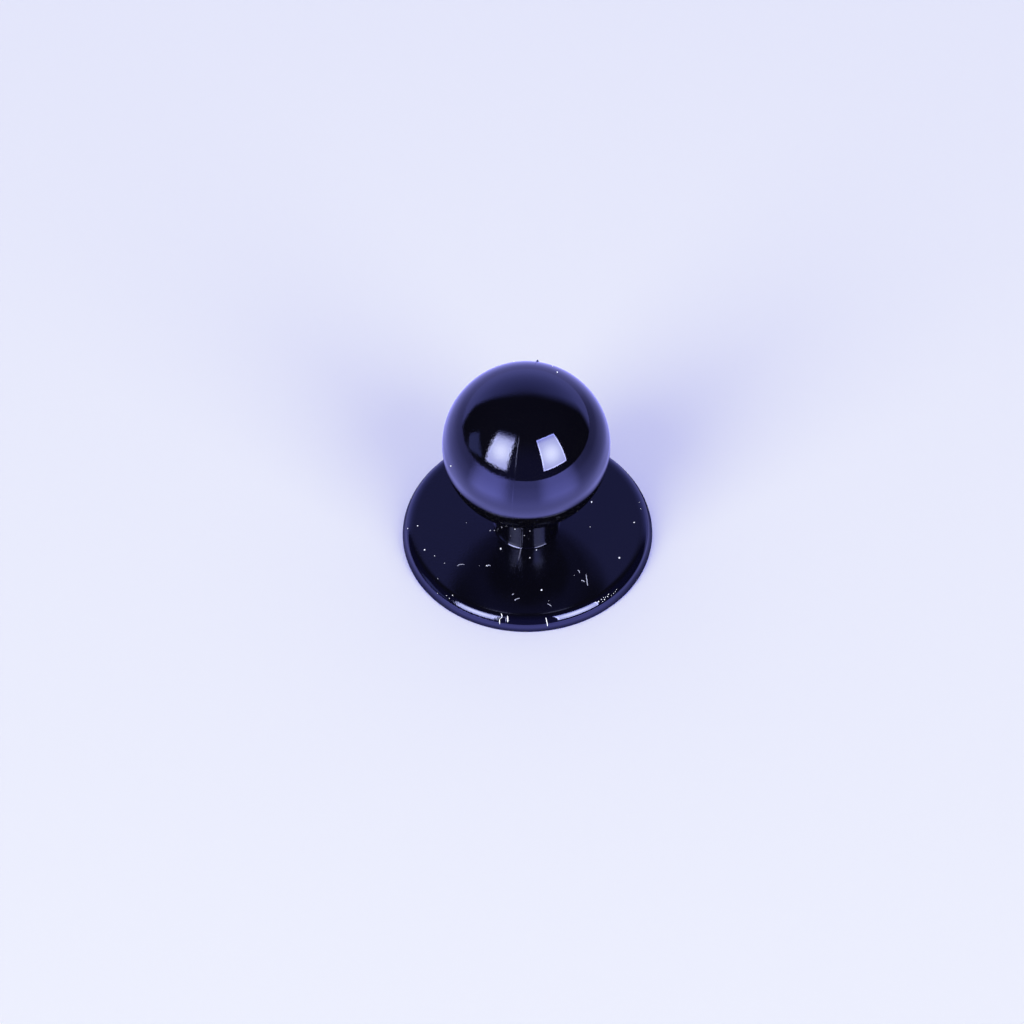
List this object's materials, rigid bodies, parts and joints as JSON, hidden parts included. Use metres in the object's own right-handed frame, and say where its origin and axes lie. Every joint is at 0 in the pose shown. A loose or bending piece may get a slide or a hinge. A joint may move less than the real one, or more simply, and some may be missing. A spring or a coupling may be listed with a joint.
{
  "type": "ball stud button",
  "caption": "Removable stud button of glossy black plastic: a round ball on a short neck over a thin disc foot that holds it in a buttonhole.",
  "frame": {"origin": "centre of the foot's flat underside", "axes": "+Z along the stud's axis from the foot to the ball; the mould's parting ridge lies in the YZ plane"},
  "size_m": [0.015, 0.015, 0.0135],
  "materials": {
    "black_plastic": "glossy as moulded, with a fine parting line"
  },
  "bodies": {
    "root": {"ball_stud": "black_plastic"}
  },
  "joints": []
}
